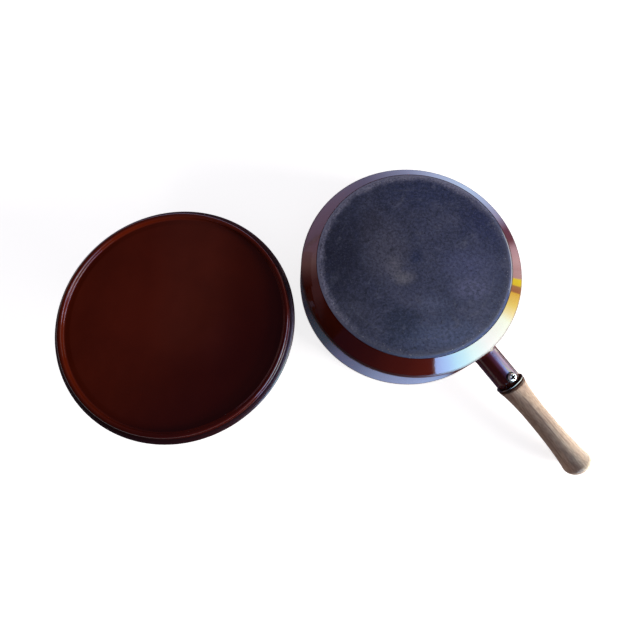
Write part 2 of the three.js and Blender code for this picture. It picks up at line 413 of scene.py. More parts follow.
def enamel(name, gloss=(0.05, 0.11), bend=None, lip_shade_from=None):
    """Brown vitreous enamel: deep colour, slight orange peel, faint wiping marks and specks.

    At the height of a sharp bend it is rougher, and painted darker as a shade line along the bend. On the lid it is
    painted darker outside a radius as shade on the lip, has a painted bluish sheen in the upper middle, and is
    painted more violet and darker towards the lower right as shade.
    """
    s = Shader(name)
    at = s.place()
    colour = s.mix(s.ramp(s.noise(at, 14, 3), 0.35, 0.65), ENAMEL_DEEP, ENAMEL_LIGHT)
    specks = s.ramp(s.noise(at, 1500, 1), 0.72, 0.78)
    colour = s.mix(s.times(specks, 0.35), colour, ENAMEL_SPECK)
    rough = s.ramp(s.noise(at, 32, 4, 0.6, 0.4), 0.3, 0.75, *gloss)
    if bend:
        # Painted shade: a darker line along the bend, where the enamel is also rougher.
        thin_bend_shade = s.ramp(s.off(s.split(at)[2], (bend + 0.5) * MM), 0.0017, 0.0009)
        colour = s.mix(s.times(thin_bend_shade, 0.6), colour, ENAMEL_BEND_SHADE)
        rough = s.math("MULTIPLY_ADD", thin_bend_shade, 0.3, rough)
    if lip_shade_from:
        s.axes = LID
        x, y, _ = s.split(s.local())
        # Painted shade: the lid turns darker and more violet towards the lower right, where the rim shades it.
        violet_shade = s.ramp(s.math("SUBTRACT", x, y), 0.014, 0.120, 0, 0.5)
        colour = s.mix(violet_shade, colour, LID_VIOLET_SHADE)
        # Painted sheen: a bluish tint in the upper middle, and the plain tint warmer elsewhere.
        painted_sheen = s.times(s.ramp(s.off(x, 0.018), 0.056, 0.010), s.ramp(y, -0.060, -0.010))
        colour = s.tinted(colour, s.mix(painted_sheen, LID_PLAIN_TINT, LID_SHEEN_TINT))
        # Painted shade: darker and rougher outside the bead, on the lip.
        lip_shade = s.ramp(s.radius(), (lip_shade_from - 0.6) * MM, (lip_shade_from + 0.6) * MM)
        colour = s.mix(s.times(lip_shade, 0.7), colour, ENAMEL_LIP_SHADE)
        rough = s.math("MULTIPLY_ADD", lip_shade, 0.3, rough)
    s.set(Base_Color=colour, Roughness=rough, IOR=1.5)
    waves = s.bump(s.noise(at, 55, 1), 0.0004, 0.3)
    s.set(Normal=s.bump(s.noise(at, 420, 2), 0.00003, 0.5, waves))
    return s.material


# Stains on the base, and lighter bluish patches at its right and front that are painted sheen: place and half
# size in millimetres from the pan's axis, colour, strength
BASE_STAINS_AND_SHEEN = (
    (-74, 0, 30, 50, (0.0087, 0.0081, 0.024), 0.9),
    (10, 78, 46, 20, (0.0162, 0.022, 0.065), 0.8),
    (80, 44, 28, 34, (0.0119, 0.0156, 0.056), 0.8),
    (-28, 12, 27, 38, (0.063, 0.060, 0.094), 0.8),
    (-40, 44, 16, 20, (0.029, 0.027, 0.049), 0.7),
    (-14, -17, 14, 9, (0.125, 0.119, 0.147), 0.8),
    (-21, -6, 10, 15, (0.100, 0.094, 0.125), 0.75),
    (54, -6, 32, 22, (0.052, 0.056, 0.122), 0.8),
    (56, -30, 22, 14, (0.072, 0.075, 0.147), 0.8),
    (14, -46, 18, 12, (0.061, 0.069, 0.131), 0.7),
    (24, -78, 52, 18, (0.052, 0.067, 0.140), 0.8),
    (-18, -64, 24, 18, (0.015, 0.020, 0.046), 0.8),
    (-66, -54, 26, 22, (0.036, 0.036, 0.063), 0.7),
    (2, 4, 8, 9, (0.0106, 0.0156, 0.051), 0.8),
)
BASE_DEEP = (0.021, 0.024, 0.055)
BASE_LIGHT = (0.044, 0.046, 0.088)
BASE_PALE_PATCH = (0.078, 0.080, 0.119)
BASE_BLACK_PATCH = (0.0075, 0.0081, 0.0187)
BASE_GRAIN = (0.086, 0.089, 0.128)
BASE_PIT = (0.0075, 0.0075, 0.015)
BASE_SCUFF = (0.084, 0.088, 0.122)
BASE_TINT = (1.04, 1.08, 1.04)
BASE_CHIP = (0.437, 0.437, 0.437)
BASE_GLINT = (0.594, 0.606, 0.625)
WORN_RIGHT = (0.094, 0.099, 0.150)
WORN_LEFT_REFLECTION = (0.281, 0.281, 0.400)
BEVEL_REFLECTION_RIGHT = (0.066, 0.081, 0.153)
BEVEL_REFLECTION_LEFT = (0.244, 0.250, 0.356)
BEVEL_REFLECTION_FRONT = (0.047, 0.078, 0.206)


def base_enamel(name):
    """Matt blue-black base: heat stains, rings from wiping, worn grey and speckled at its edge. Painted sheen
    lightens it in bluish patches and towards the right, and painted reflections light its edge and bevel.
    """
    s = Shader(name, PAN)
    at = s.place()
    x, y, _ = s.split(at)
    radius = s.radius()
    cloud = s.noise(at, 30, 5, 0.6, 0.5)
    patch = s.noise(at, 62, 4, 0.65, 1.2)
    grain = s.noise(at, 900, 3, 0.7)

    # Stains, and patches of painted sheen, with ragged edges; random patches, grain and pits
    colour = s.mix(s.ramp(cloud, 0.34, 0.66), BASE_DEEP, BASE_LIGHT)
    ragged = s.math("MULTIPLY_ADD", cloud, 1.2, s.math("MULTIPLY_ADD", patch, 0.8, -1.0))
    for right, back, wide, deep, patch_tone, strength in BASE_STAINS_AND_SHEEN:
        near = s.length(s.place((1 / (wide * MM), 1 / (deep * MM), 0), (-right / wide, -back / deep, 0)))
        colour = s.mix(s.ramp(s.math("ADD", near, ragged), 1.3, 0.2, 0, strength), colour, patch_tone)
    colour = s.mix(s.ramp(patch, 0.56, 0.74, 0, 0.5), colour, BASE_PALE_PATCH)
    colour = s.mix(s.ramp(patch, 0.44, 0.28, 0, 0.6), colour, BASE_BLACK_PATCH)
    colour = s.mix(s.ramp(grain, 0.48, 0.72, 0, 0.5), colour, BASE_GRAIN)
    pits = s.ramp(s.noise(at, 520, 2, 0.6), 0.58, 0.70)
    colour = s.mix(s.times(pits, 0.6), colour, BASE_PIT)

    # Rings from wiping, in places, and a mottle that a painted sheen makes lighter towards the right
    rings = s.noise(s.node("CombineXYZ", X=s.times(radius, 330), Y=s.times(cloud, 1.2)), 1, 4, 0.7)
    scuff = s.times(s.ramp(rings, 0.52, 0.72), s.ramp(s.noise(at, 24, 2), 0.42, 0.62))
    colour = s.mix(s.times(scuff, 0.38), colour, BASE_SCUFF)
    mottle = s.ramp(s.noise(at, 330, 3, 0.7), 0.36, 0.64, 0.72, 1.28)
    # Painted sheen: the colour is lifted towards the right.
    colour = s.tinted(colour, s.times(mottle, s.ramp(x, -0.08, 0.06, 1.12, 1.48)))
    colour = s.tinted(colour, BASE_TINT)

    # The edge: worn grey and speckled, painted lighter on its left as a reflection, with painted reflections on
    # its bevel and a painted glint on its right
    left = s.ramp(s.math("MULTIPLY_ADD", x, -0.643, s.times(y, 0.766)), -0.045, 0.045)
    edge = s.math("ADD", radius, s.times(s.noise(at, 90, 4, 0.7), 0.013))
    worn = s.times(s.ramp(edge, 0.0965, 0.1050), s.ramp(s.noise(at, 480, 3, 0.7), 0.36, 0.62, 0.3, 1))
    # Painted reflection: the worn edge is lighter on the left.
    colour = s.mix(s.times(worn, 0.85), colour, s.mix(left, WORN_RIGHT, WORN_LEFT_REFLECTION))
    chips = s.times(s.ramp(s.noise(at, 700, 1), 0.69, 0.75), s.ramp(edge, 0.094, 0.105))
    colour = s.mix(chips, colour, BASE_CHIP)
    # Painted reflections on the bevel: bluish at the front, lighter on the left.
    bevel_reflection = s.times(s.ramp(radius, 0.0970, 0.0986), s.ramp(cloud, 0.3, 0.6, 0.4, 0.75))
    front = s.ramp(s.math("SUBTRACT", x, y), 0.06, 0.12)
    colour = s.mix(bevel_reflection, colour, s.mix(front, s.mix(left, BEVEL_REFLECTION_RIGHT, BEVEL_REFLECTION_LEFT), BEVEL_REFLECTION_FRONT))
    glint = s.times(s.ramp(radius, 0.0984, 0.0992), s.ramp(x, 0.0915, 0.0965, 0, 0.8))
    colour = s.mix(glint, colour, BASE_GLINT)

    s.set(Base_Color=colour, Roughness=s.ramp(grain, 0.3, 0.7, 0.66, 0.82), IOR=1.45)
    s.set(Normal=s.bump(rings, 0.00006, 0.35, s.bump(grain, 0.00007, 0.5)))
    return s.material


WOOD_BROWN = (0.312, 0.186, 0.125)
WOOD_PALE = (0.481, 0.331, 0.231)
WOOD_STREAK = (0.537, 0.397, 0.287)
WOOD_DARK = (0.169, 0.091, 0.061)
WOOD_PORE = (0.094, 0.050, 0.037)
WOOD_FLECK = (0.231, 0.136, 0.097)
WOOD_WEAR = (0.237, 0.153, 0.128)


def wood(name, axes):
    """Pale turned beech with its grain along Z: growth bands, fine streaks, dark pores and hand wear."""
    s = Shader(name, axes)
    bands = s.noise(s.place((1, 0.45, 0.045)), 240, 3, 0.55, 0.9)
    colour = s.mix(s.ramp(bands, 0.36, 0.64), WOOD_BROWN, WOOD_PALE)
    streaks = s.noise(s.place((1, 1, 0.03)), 850, 3, 0.6)
    colour = s.mix(s.ramp(streaks, 0.40, 0.66, 0, 0.6), colour, WOOD_STREAK)
    dark = s.ramp(s.noise(s.place((1, 1, 0.022), (0.3, 0, 0)), 420, 3, 0.6), 0.54, 0.70)
    colour = s.mix(s.times(dark, 0.85), colour, WOOD_DARK)
    pores = s.ramp(s.noise(s.place((1, 1, 0.055)), 1700, 2, 0.6), 0.60, 0.72)
    colour = s.mix(s.times(pores, 0.7), colour, WOOD_PORE)
    flecks = s.ramp(s.noise(s.place((1, 1, 0.22)), 760, 2, 0.6), 0.42, 0.62, 0, 0.55)
    colour = s.mix(flecks, colour, WOOD_FLECK)
    wear = s.noise(s.place((1, 1, 0.6)), 34, 3)
    colour = s.mix(s.ramp(wear, 0.45, 0.75, 0, 0.4), colour, WOOD_WEAR)
    lighter_end = s.ramp(s.split(s.local())[2], 0.088, 0.122, 1.0, 1.16)
    colour = s.tinted(colour, lighter_end)
    s.set(Base_Color=colour, Roughness=s.ramp(streaks, 0.3, 0.7, 0.45, 0.6), IOR=1.45, Specular_IOR_Level=0.20)
    s.set(Normal=s.bump(pores, -0.00012, 0.5, s.bump(streaks, 0.00008, 0.4)))
    return s.material


def lacquer(name, dark, light, rough, level):
    """Mottled lacquer between two colours."""
    s = Shader(name, HANDLE)
    at = s.place()
    tone = s.noise(at, 180, 3)
    s.set(Base_Color=s.mix(s.ramp(tone, 0.35, 0.65), dark, light),
          Roughness=s.ramp(tone, 0.3, 0.7, rough, rough + 0.12), IOR=1.5, Specular_IOR_Level=level)
    s.set(Normal=s.bump(s.noise(at, 1400, 2), 0.00004, 0.3))
    return s.material


RECESS_SHADE = (0.012, 0.011, 0.010)
TURNING_RINGS = 2600.0


def metal(name, axes, colour, rough, turned=False, recess=None, bare=1.0):
    """Bright metal with fine scratches, or turning rings. A recess, (radius, height), is painted dark as shade."""
    s = Shader(name, axes)
    at = s.place()
    if turned:
        marks = s.noise(s.node("CombineXYZ", X=s.times(s.radius(), TURNING_RINGS)), 1, 2)
    else:
        marks = s.noise(s.place((1, 0.06, 1)), 2600, 2)
    tone = s.mix(s.ramp(s.noise(at, 240, 3), 0.4, 0.7), colour, tuple(0.72 * c for c in colour))
    shine = s.ramp(marks, 0.3, 0.7, rough, rough + 0.14)
    if recess:
        wide, high = recess
        # Painted shade in the recess.
        inside = s.ramp(s.radius(), wide * MM, (wide - 0.2) * MM)
        recess_shade = s.times(inside, s.ramp(s.split(at)[2], high * MM, (high - 0.4) * MM))
        tone = s.mix(recess_shade, tone, RECESS_SHADE)
        shine = s.math("MULTIPLY_ADD", recess_shade, 0.4, shine)
    s.set(Base_Color=tone, Metallic=bare, Roughness=shine)
    s.set(Normal=s.bump(marks, 0.00002, 0.3))
    return s.material


FIBRE_DARK = (0.0037, 0.0037, 0.0044)
FIBRE_LIGHT = (0.0125, 0.0125, 0.0137)


def fibre(name):
    """Black fibre washer. Its black ring round the screw head also serves as painted shade there."""
    s = Shader(name)
    tone = s.noise(s.place(), 900, 3)
    s.set(Base_Color=s.mix(s.ramp(tone, 0.35, 0.65), FIBRE_DARK, FIBRE_LIGHT),
          Roughness=s.ramp(tone, 0.3, 0.7, 0.45, 0.65), IOR=1.5)
    s.set(Normal=s.bump(tone, 0.00005, 0.4))
    return s.material


# Axes of the pieces

def centre_of(node):
    low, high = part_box(node)
    return Vector(((low.x + high.x) / 2, (low.y + high.y) / 2, 0))


def basis(x, y, z, origin):
    matrix = Matrix((x, y, z)).transposed().to_4x4()
    matrix.translation = origin
    return matrix


PAN_AXIS = centre_of("base_plate")
LID_AXIS = centre_of("lid_knob")
OUTWARD = Vector((math.cos(HANDLE_BEARING), math.sin(HANDLE_BEARING), 0))
UP = Vector((0, 0, 1))
ALONG = OUTWARD * math.cos(HANDLE_TILT) - UP * math.sin(HANDLE_TILT)
SCREW_UP = OUTWARD * math.sin(HANDLE_TILT) + UP * math.cos(HANDLE_TILT)
ROOT = PAN_AXIS + OUTWARD * RIM_RADIUS * MM + UP * SOCKET_HEIGHT * MM

HANDLE = basis(SCREW_UP.cross(ALONG), SCREW_UP, ALONG, ROOT)
SCREW = HANDLE @ Matrix.Translation((0, 0, SCREW_PLACE * MM)) @ Matrix.Rotation(-math.pi / 2, 4, "X")
PAN = Matrix.Translation(PAN_AXIS)
LID = Matrix.Translation(LID_AXIS)


# Pieces

PAN_OUTSIDE = [
    (RIM_RADIUS, 0, RIM_ROUND),
    (RIM_RADIUS, RIM_BAND, RIM_BAND_ROUND),
    (SHOULDER_RADIUS, SHOULDER_HEIGHT, SHOULDER_ROUND),
    (LIP_RADIUS, LIP_HEIGHT, LIP_ROUND),
    (POCKET_RADIUS, LIP_HEIGHT),
]
PAN_STEPS = 14
WALL_LINE = np.array(rounded(PAN_OUTSIDE, PAN_STEPS))


def wall_radius(z):
    """The pan's outer radius at a height, shoulder and chamfer included."""
    return np.interp(z, WALL_LINE[:, 1], WALL_LINE[:, 0])


def pan_shell():
    inner_floor, inner_rim = POCKET_FLOOR - PAN_SHEET, RIM_RADIUS - PAN_SHEET
    inner_shoulder = SHOULDER_RADIUS - PAN_SHEET - INNER_SHOULDER_SHIFT
    outline = rounded([
        (0, inner_floor),
        (POCKET_RADIUS + INNER_FLOOR_OVERLAP, inner_floor, INNER_FLOOR_ROUND),
        (inner_shoulder, SHOULDER_HEIGHT - INNER_SHOULDER_DROP, INNER_SHOULDER_ROUND),
        (inner_rim, RIM_BAND, RIM_BAND_ROUND),
        (inner_rim, 0, RIM_ROUND),
        *PAN_OUTSIDE,
        (POCKET_RADIUS, POCKET_FLOOR, POCKET_ROUND),
        (0, POCKET_FLOOR),
    ], PAN_STEPS)
    return revolve("pan_shell", refined(outline), FINE)


def base_disc():
    outline = rounded([
        (0, POCKET_FLOOR),
        (BASE_RADIUS, POCKET_FLOOR, BASE_FOOT_ROUND),
        (BASE_RADIUS, PAN_HEIGHT - BASE_BEVEL_DROP, BASE_EDGE_ROUND),
        (BASE_RADIUS - BASE_BEVEL, PAN_HEIGHT, BASE_BEVEL_ROUND),
        (0, PAN_HEIGHT),
    ])
    return revolve("base_disc", refined(outline), FINE)


def socket_tube():
    """The socket follows the round wall at its root, where it spreads into a small weld fillet."""
    root_steps, halvings, search = 10, 40, 12.0
    mouth_from = SOCKET_REACH - 16
    to_pan = PAN.inverted() @ HANDLE
    mouth = rounded([
        (SOCKET_RADIUS, mouth_from), (SOCKET_RADIUS, SOCKET_REACH, SOCKET_MOUTH_ROUND),
        (SOCKET_BORE, SOCKET_REACH, SOCKET_BORE_ROUND), (SOCKET_BORE, mouth_from)], 6)[1:-1]
    vertices = []
    for k in range(MEDIUM):
        a = 2 * math.pi * k / MEDIUM
        c, s = math.cos(a), math.sin(a)

        def gap(t, radius):
            p = to_pan @ Vector((radius * c * MM, radius * s * MM, t * MM)) / MM
            return math.hypot(p.x, p.y) - wall_radius(p.z)

        def meets(radius):
            low, high = -search, search
            for _ in range(halvings):
                t = (low + high) / 2
                low, high = (t, high) if gap(t, radius) < -WELD_DEPTH else (low, t)
            return low

        start = meets(SOCKET_RADIUS + WELD_SPREAD)
        line = []
        for i in range(root_steps + 1):
            u = i / root_steps
            line.append((SOCKET_RADIUS + WELD_SPREAD * (1 - u) ** 2, start + WELD_LENGTH * u))
        line += [(SOCKET_RADIUS, t) for t in np.linspace(line[-1][1] + 1, SOCKET_REACH - 1, 8)]
        line += [tuple(p) for p in mouth]
        line += [(SOCKET_BORE, t) for t in np.linspace(SOCKET_REACH - 1, meets(SOCKET_BORE), 6)]
        vertices += [(r * c * MM, r * s * MM, t * MM) for r, t in line]
    rows = len(vertices) // MEDIUM
    faces = []
    for k in range(MEDIUM):
        n = (k + 1) % MEDIUM
        for i in range(rows):
            j = (i + 1) % rows
            faces.append([k * rows + i, n * rows + i, n * rows + j, k * rows + j])
    return mesh_object("socket_tube", vertices, faces)


def collar_bead():
    """The collar's rounded front edge."""
    return revolve("collar_bead", closed([
        (SOCKET_BORE, COLLAR_START),
        (COLLAR_RADIUS, COLLAR_START, COLLAR_FRONT_ROUND),
        (COLLAR_RADIUS, COLLAR_BEAD_END, COLLAR_BEAD_ROUND),
        (SOCKET_BORE, COLLAR_BEAD_END),
    ], 8), MEDIUM)


def collar_ring():
    """The rest of the collar, a little lower than its front edge and slightly crowned."""
    start = COLLAR_BEAD_END + COLLAR_SEAM
    return revolve("collar_ring", closed([
        (SOCKET_BORE, start),
        (COLLAR_RADIUS - 0.9, start, 0.1),
        (COLLAR_RADIUS - 0.3, (start + COLLAR_END) / 2, 1.0),
        (COLLAR_RADIUS - 0.5, COLLAR_END, 0.8),
        (SOCKET_BORE, COLLAR_END),
    ], 8), MEDIUM)


def grip_wood():
    """Turned grip: tenon, head, waist, bulb and round end."""
    head = (GRIP_HEAD_RADIUS, GRIP_START + GRIP_HEAD_EDGE)
    waist = (GRIP_WAIST_RADIUS, GRIP_WAIST_PLACE)
    bulb = (BULB_RADIUS, BULB_PLACE)
    tenon = [
        (0, TENON_TIP), (TENON_TIP_RADIUS, TENON_TIP), (TENON_RADIUS, TENON_TIP + TENON_CHAMFER),
        (TENON_RADIUS, GRIP_START), (GRIP_HEAD_RADIUS - GRIP_HEAD_EDGE, GRIP_START)]
    side = [
        np.array(head),
        *bezier([head, (GRIP_WAIST_RADIUS, GRIP_START + 14), waist], 36),
        *bezier([waist, (GRIP_WAIST_RADIUS, BULB_PLACE - 22), bulb], 40),
        *bezier([bulb, (BULB_RADIUS + 1.3, BULB_PLACE + 5), (12, GRIP_END), (0, GRIP_END)], 36)]
    side = [p * np.array([GRIP_SHARE, 1]) for p in side]
    side[-1][0] = 0
    return revolve("grip_wood", [*(np.array(p) for p in tenon), *side], MEDIUM)


def screw_head():
    """Pan head with a cross recess, on its shank."""
    segments, rings = 160, 64
    top = SCREW_SEAT + SCREW_HEAD_HEIGHT
    turns = [2 * math.pi * (k + 0.5) / segments for k in range(segments)]
    vertices, rows = [], []
    for i in range(rings):
        r = SCREW_HEAD_RADIUS * math.sin((i + 1) / rings * math.pi / 2)
        round_off = 1 - math.sqrt(max(0, 1 - (r / SCREW_HEAD_RADIUS) ** SCREW_HEAD_POWER))
        drop = (SCREW_HEAD_HEIGHT - SCREW_HEAD_SIDE) * round_off
        row = []
        for a in turns:
            x, y = r * math.cos(a), r * math.sin(a)
            outside = min(max(abs(x) - CROSS_REACH, abs(y) - CROSS_HALF_WIDTH),
                          max(abs(y) - CROSS_REACH, abs(x) - CROSS_HALF_WIDTH))
            depth = CROSS_DEPTH * min(1, max(0, 0.5 - outside / CROSS_SLOPE))
            row.append(len(vertices))
            vertices.append((x * MM, y * MM, (top - drop - depth) * MM))
        rows.append(row)
    below = (
        (SCREW_HEAD_RADIUS, SCREW_SEAT + SCREW_UNDERCUT), (SCREW_HEAD_RADIUS - SCREW_UNDERCUT, SCREW_SEAT),
        (SHANK_RADIUS, SCREW_SEAT), (SHANK_RADIUS, SHANK_END), (SCREW_TIP_RADIUS, SCREW_TIP))
    for r, z in below:
        rows.append(list(range(len(vertices), len(vertices) + segments)))
        vertices += [(r * math.cos(a) * MM, r * math.sin(a) * MM, z * MM) for a in turns]
    centre = len(vertices)
    vertices += [(0, 0, (top - CROSS_DEPTH) * MM), (0, 0, SCREW_TIP * MM)]
    faces = []
    for k in range(segments):
        n = (k + 1) % segments
        faces.append([centre, rows[0][k], rows[0][n]])
        faces.append([centre + 1, rows[-1][n], rows[-1][k]])
        faces += [[low[k], high[k], high[n], low[n]] for low, high in zip(rows, rows[1:])]
    return mesh_object("screw_head", vertices, faces)


def cup_washer():
    return revolve("cup_washer", closed([
        (WASHER_BORE, WASHER_FOOT),
        (WASHER_RADIUS, WASHER_FOOT),
        (WASHER_RADIUS, WASHER_TOP, 0.5),
        (WASHER_CREST_RADIUS, WASHER_CREST, 0.3),
        (WASHER_BORE, WASHER_TOP),
    ], 5, 2), 64)


def lid_shell():
    """Lip, locating bead, recess wall, flat ring and dished floor, one pressed sheet."""
    face = refined(rounded([
        (LID_RADIUS, LID_LIP - LID_LIP_DROP),
        (BEAD_RADIUS + BEAD_FLARE, LID_LIP, BEAD_FOOT_ROUND),
        (BEAD_RADIUS, LID_CREST, BEAD_ROUND),
        (RECESS_RADIUS, LID_CREST, BEAD_ROUND),
        (RECESS_FOOT, FLOOR_EDGE, RECESS_ROUND),
        (RING_RADIUS, FLOOR_EDGE, RING_ROUND),
        (LAND_RADIUS, FLOOR_CENTRE, LAND_ROUND),
        (0, FLOOR_CENTRE),
    ], 14), 4.0)
    under = []
    for i, p in enumerate(face):
        step = face[min(i + 1, len(face) - 1)] - face[max(i - 1, 0)]
        step = step / np.linalg.norm(step)
        under.append(p + LID_SHEET * np.array([-step[1], step[0]]))
    under[-1][0] = 0
    edge = [under[0] + np.array([0, LID_LIP_CUT]), face[0] + np.array([0, -LID_LIP_CUT])]
    under[0] = under[0] + np.array([-LID_LIP_CUT, 0])
    face[0] = face[0] + np.array([-LID_LIP_CUT, 0])
    return revolve("lid_shell", [*under[::-1], *edge, *face], FINE)


def knob_wood():
    bottom = KNOB_HEIGHT - INSERT_LENGTH - KNOB_HOLE_ROOM
    hole = [(KNOB_TOP_RADIUS, KNOB_HEIGHT), (KNOB_HOLE, KNOB_HEIGHT), (KNOB_HOLE, bottom), (0, bottom)]
    outline = [np.array((0, 0.0)), *smooth_path(KNOB_SIDE, 60), *(np.array(p) for p in hole)]
    return revolve("knob_wood", refined(outline), MEDIUM)


def knob_plate():
    return revolve("knob_plate", closed([
        (PLATE_BORE, KNOB_HEIGHT), (PLATE_RADIUS, KNOB_HEIGHT, 0.45), (PLATE_RADIUS, LID_UNDER, 0.3),
        (PLATE_BORE, LID_UNDER),
    ], 5), MEDIUM)


def stud_bolt():
    tip, flange = KNOB_HEIGHT - INSERT_LENGTH + STUD_TIP_ROOM, LID_UNDER - STUD_FLANGE
    return revolve("stud_bolt", refined(rounded([
        (0, tip), (STUD_RADIUS, tip, 0.5), (STUD_RADIUS, flange, 0.4), (STUD_FLANGE_RADIUS, flange, 0.3),
        (STUD_FLANGE_RADIUS, LID_UNDER), (0, LID_UNDER),
    ], 5)), COARSE)


def insert_sleeve():
    """Threaded insert, with its outer thread as shallow rings."""
    low, high = KNOB_HEIGHT - INSERT_LENGTH, KNOB_HEIGHT
    outline = [(INSERT_BORE, low), (INSERT_CORE, low)]
    for i in range(INSERT_TURNS):
        z = low + INSERT_END + (high - low - 2 * INSERT_END) * i / (INSERT_TURNS - 1)
        outline += [(INSERT_CORE, z - 0.5), (INSERT_RADIUS, z - 0.1)]
        outline += [(INSERT_RADIUS, z + 0.1), (INSERT_CORE, z + 0.5)]
    outline += [(INSERT_CORE, high), (INSERT_BORE, high), (INSERT_BORE, low)]
    return revolve("insert_sleeve", outline, COARSE)


def dress(obj, matrix, body, node, material):
    """Puts a piece in its place, over the CAD node that it shows."""
    obj.data.transform(matrix)
    obj.data.materials.append(material)
    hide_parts(node)
    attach(obj, body)


LID_ENAMEL = enamel("brown_enamel", lip_shade_from=LIP_SHADE_FROM)
PAN_ENAMEL = enamel("pan_enamel", bend=SHOULDER_HEIGHT)
SOCKET_ENAMEL = enamel("socket_enamel", gloss=(0.14, 0.22))
BEAD_LACQUER = lacquer("glossy_collar", (0.015, 0.0053, 0.0028), (0.044, 0.0144, 0.0053), 0.14, 1.0)
RING_LACQUER = lacquer("dark_collar", (0.026, 0.0090, 0.0036), (0.085, 0.0280, 0.0090), 0.42, 0.08)
BRIGHT_SCREW = metal("bright_screw", SCREW, (0.92, 0.92, 0.93), 0.28, bare=0.55,
                     recess=(CROSS_SHADE_RADIUS, SCREW_SEAT + SCREW_HEAD_HEIGHT - CROSS_SHADE_DROP))
STEEL = metal("plain_steel", LID, (0.56, 0.57, 0.58), 0.26, turned=True)
BRASS = metal("turned_brass", LID, (0.62, 0.44, 0.17), 0.22, turned=True)

dress(pan_shell(), PAN, "pan", "pan_body", PAN_ENAMEL)
dress(base_disc(), PAN, "pan", "base_plate", base_enamel("matt_base"))
dress(socket_tube(), HANDLE, "pan", "handle_socket", SOCKET_ENAMEL)
dress(collar_bead(), HANDLE, "pan", "handle_collar", BEAD_LACQUER)
dress(collar_ring(), HANDLE, "pan", "handle_collar", RING_LACQUER)
dress(grip_wood(), HANDLE, "pan", "handle_grip", wood("grip_beech", HANDLE))
dress(screw_head(), SCREW, "pan", "handle_screw", BRIGHT_SCREW)
dress(cup_washer(), SCREW, "pan", "screw_washer", fibre("black_fibre"))
dress(lid_shell(), LID, "lid", "lid_body", LID_ENAMEL)
dress(knob_wood(), LID, "lid", "lid_knob", wood("knob_beech", LID))
dress(knob_plate(), LID, "lid", "knob_washer", STEEL)
dress(stud_bolt(), LID, "lid", "knob_stud", STEEL)
dress(insert_sleeve(), LID, "lid", "knob_insert", BRASS)


# Studio

CAMERA_LIFT = 0.76
MIRROR_LIFT = 0.05
MIRRORS = ("Is Glossy Ray", "Is Transmission Ray")
FLOOR_HALF = 4.0
FLOOR_HEIGHT = -0.0002
FLOOR_CARD_HEIGHT = 0.0004
FLOOR_COLOUR = (0.86, 0.86, 0.87, 1)
FLOOR_MIRRORED = (0.92, 0.78, 1, 1)
WORLD_COLOUR = (0.96, 0.89, 1.0, 1)
WORLD_STRENGTH = 0.205
WHITE = (1, 1, 1, 1)
STRIP_HALF = 0.10


def ray(tree, *kinds):
    """1 for rays of these kinds, such as camera or mirror rays."""
    path = tree.nodes.new("ShaderNodeLightPath")
    total = path.outputs[kinds[0]]
    for kind in kinds[1:]:
        most = tree.nodes.new("ShaderNodeMath")
        most.operation = "MAXIMUM"
        tree.links.new(total, most.inputs[0])
        tree.links.new(path.outputs[kind], most.inputs[1])
        total = most.outputs[0]
    return total


def floor():
    """A pale floor that takes the shadow. The camera sees it lighter than it lights the object."""
    corners = [(x * FLOOR_HALF, y * FLOOR_HALF, FLOOR_HEIGHT) for x, y in ((-1, -1), (1, -1), (1, 1), (-1, 1))]
    obj = mesh_object("floor", corners, [[0, 1, 2, 3]])
    s = Shader("pale_floor")
    s.tree.nodes.remove(s.surface)
    diffuse = s.node("BsdfDiffuse", Color=FLOOR_COLOUR)
    seen = s.node("Emission", Color=WHITE, Strength=s.times(ray(s.tree, "Is Camera Ray"), CAMERA_LIFT))
    mirrored = s.node("Emission", Color=FLOOR_MIRRORED, Strength=s.times(ray(s.tree, *MIRRORS), MIRROR_LIFT))
    s.show(s.node("AddShader", i0=s.node("AddShader", i0=diffuse, i1=seen), i1=mirrored))
    obj.data.materials.append(s.material)


def world():
    """Dim soft light on the object, and white behind it."""
    made = bpy.data.worlds.new("studio")
    made.use_nodes = True
    tree = made.node_tree
    soft = tree.nodes["Background"]
    soft.inputs[0].default_value = WORLD_COLOUR
    soft.inputs[1].default_value = WORLD_STRENGTH
    white = tree.nodes.new("ShaderNodeBackground")
    white.inputs[0].default_value = WHITE
    white.inputs[1].default_value = 1.0
    mix = tree.nodes.new("ShaderNodeMixShader")
    tree.links.new(ray(tree, "Is Camera Ray", *MIRRORS), mix.inputs[0])
    tree.links.new(soft.outputs[0], mix.inputs[1])
    tree.links.new(white.outputs[0], mix.inputs[2])
    tree.links.new(mix.outputs[0], tree.nodes["World Output"].inputs[0])
    bpy.context.scene.world = made


def lamp(name, at, aim, size, radiance, colour):
    """A soft panel that mirrors don't show. Its power follows from how bright its face is."""
    data = bpy.data.lights.new(name, "AREA")
    data.shape = "RECTANGLE"
    data.size, data.size_y = size
    data.energy = radiance * math.pi * size[0] * size[1]
    data.color = colour
    obj = bpy.data.objects.new(name, data)
    bpy.context.scene.collection.objects.link(obj)
    obj.location = at
    obj.rotation_mode = "QUATERNION"
    obj.rotation_quaternion = (Vector(aim) - Vector(at)).to_track_quat("-Z", "Y")
    obj.visible_glossy = False


